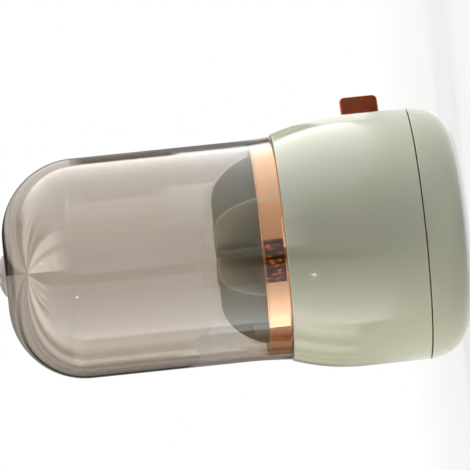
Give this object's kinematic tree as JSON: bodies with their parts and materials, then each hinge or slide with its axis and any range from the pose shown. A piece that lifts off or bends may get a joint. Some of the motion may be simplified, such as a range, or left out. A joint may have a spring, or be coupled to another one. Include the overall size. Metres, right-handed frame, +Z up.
{
  "type": "brush holder with drawer",
  "caption": "Round turntable brush holder: barrel base with a drawer and leather pull, divided brush cup with metal collar, and lift-off clear dome lid.",
  "frame": {"origin": "centre of the resting face under the foot, on the turntable's axis", "axes": "+Z up along the turntable's axis; the drawer opens towards -Y"},
  "size_m": [0.1396, 0.1643, 0.2567],
  "materials": {
    "green_gloss": "grey-green, high gloss",
    "green_satin": "grey-green, satin",
    "rose_gold": "mirror rose-gold plating",
    "smoke_clear": "clear smoky brown-grey",
    "clear_button": "clear, slightly milky",
    "tan_leather": "smooth saddle brown, lighter cut edge",
    "foot_rubber": "matt anti-slip sheet",
    "race_steel": "pressed steel",
    "zinc_screw": "zinc plated",
    "brass_rivet": "plain brass",
    "white_acetal": "natural acetal"
  },
  "bodies": {
    "foot": {"foot_shell": "green_gloss", "foot_pad": "foot_rubber", "lower_race": "race_steel", "pivot_washer": "race_steel", "pivot_screw": "zinc_screw"},
    "cage": {"ball_cage": "white_acetal", "bearing_balls": "race_steel"},
    "barrel": {"body_shell": "green_gloss", "turn_plate": "green_satin", "pivot_bush": "white_acetal", "upper_race": "race_steel", "plate_screws": "zinc_screw", "drawer_runners": "green_satin", "runner_screws": "zinc_screw", "brush_cup": "green_gloss", "divider": "green_gloss", "divider_screw": "zinc_screw", "collar_ring": "rose_gold"},
    "drawer": {"drawer_front": "green_gloss", "drawer_tray": "green_satin", "front_screws": "zinc_screw", "pull_tab": "tan_leather", "tab_rivets": "brass_rivet"},
    "lid": {"lid_dome": "smoke_clear", "lid_knob": "clear_button"}
  },
  "joints": [
    {"name": "barrel_spin", "type": "hinge", "parent": "foot", "child": "barrel", "pos_m": [0, 0, 0.0244], "axis": [0, 0, 1], "continuous": true},
    {"name": "cage_spin", "type": "hinge", "parent": "foot", "child": "cage", "pos_m": [0, 0, 0.0244], "axis": [0, 0, 1], "continuous": true},
    {"name": "drawer_slide", "type": "slide", "parent": "barrel", "child": "drawer", "axis": [0, -1, 0], "range_m": [0, 0.068]},
    {"name": "lid_lift", "type": "slide", "parent": "barrel", "child": "lid", "axis": [0, 0, 1], "range_m": [0, 0.16]}
  ],
  "couplings": [
    {"joint": "cage_spin", "follows": "barrel_spin", "ratio": 0.5}
  ]
}
